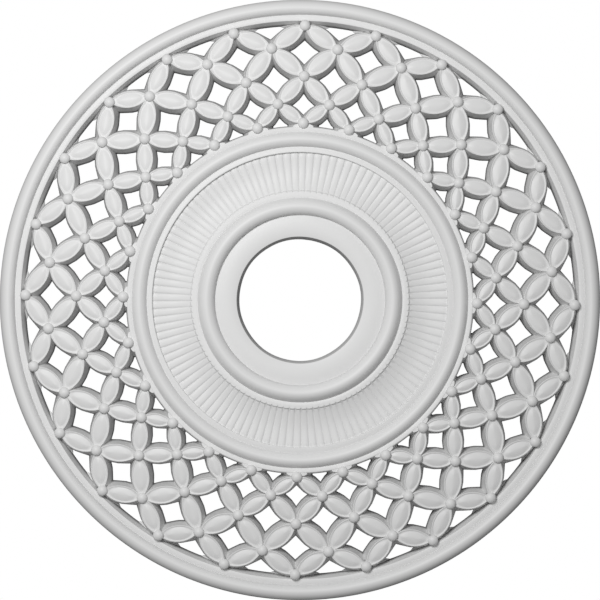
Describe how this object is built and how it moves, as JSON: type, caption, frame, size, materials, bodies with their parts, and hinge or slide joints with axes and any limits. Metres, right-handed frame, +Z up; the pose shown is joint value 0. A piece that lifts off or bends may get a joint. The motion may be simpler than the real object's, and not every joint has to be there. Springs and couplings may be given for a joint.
{
  "type": "ceiling rose",
  "caption": "Round pierced ceiling rose: a moulded rim, a lattice of crossing petals with beads, and a fluted hub with a central hole that trims a hanging lamp's fixing.",
  "frame": {"origin": "centre of the flat back, in the plane of the ceiling", "axes": "+Z up into the ceiling along the rose's axis, so the face looks down along -Z; +X through a bead of the outermost ring"},
  "size_m": [0.56, 0.56, 0.0345],
  "materials": {
    "painted_foam": "factory-primed white, matte to satin"
  },
  "bodies": {
    "root": {"ceiling_rose": "painted_foam"}
  },
  "joints": []
}
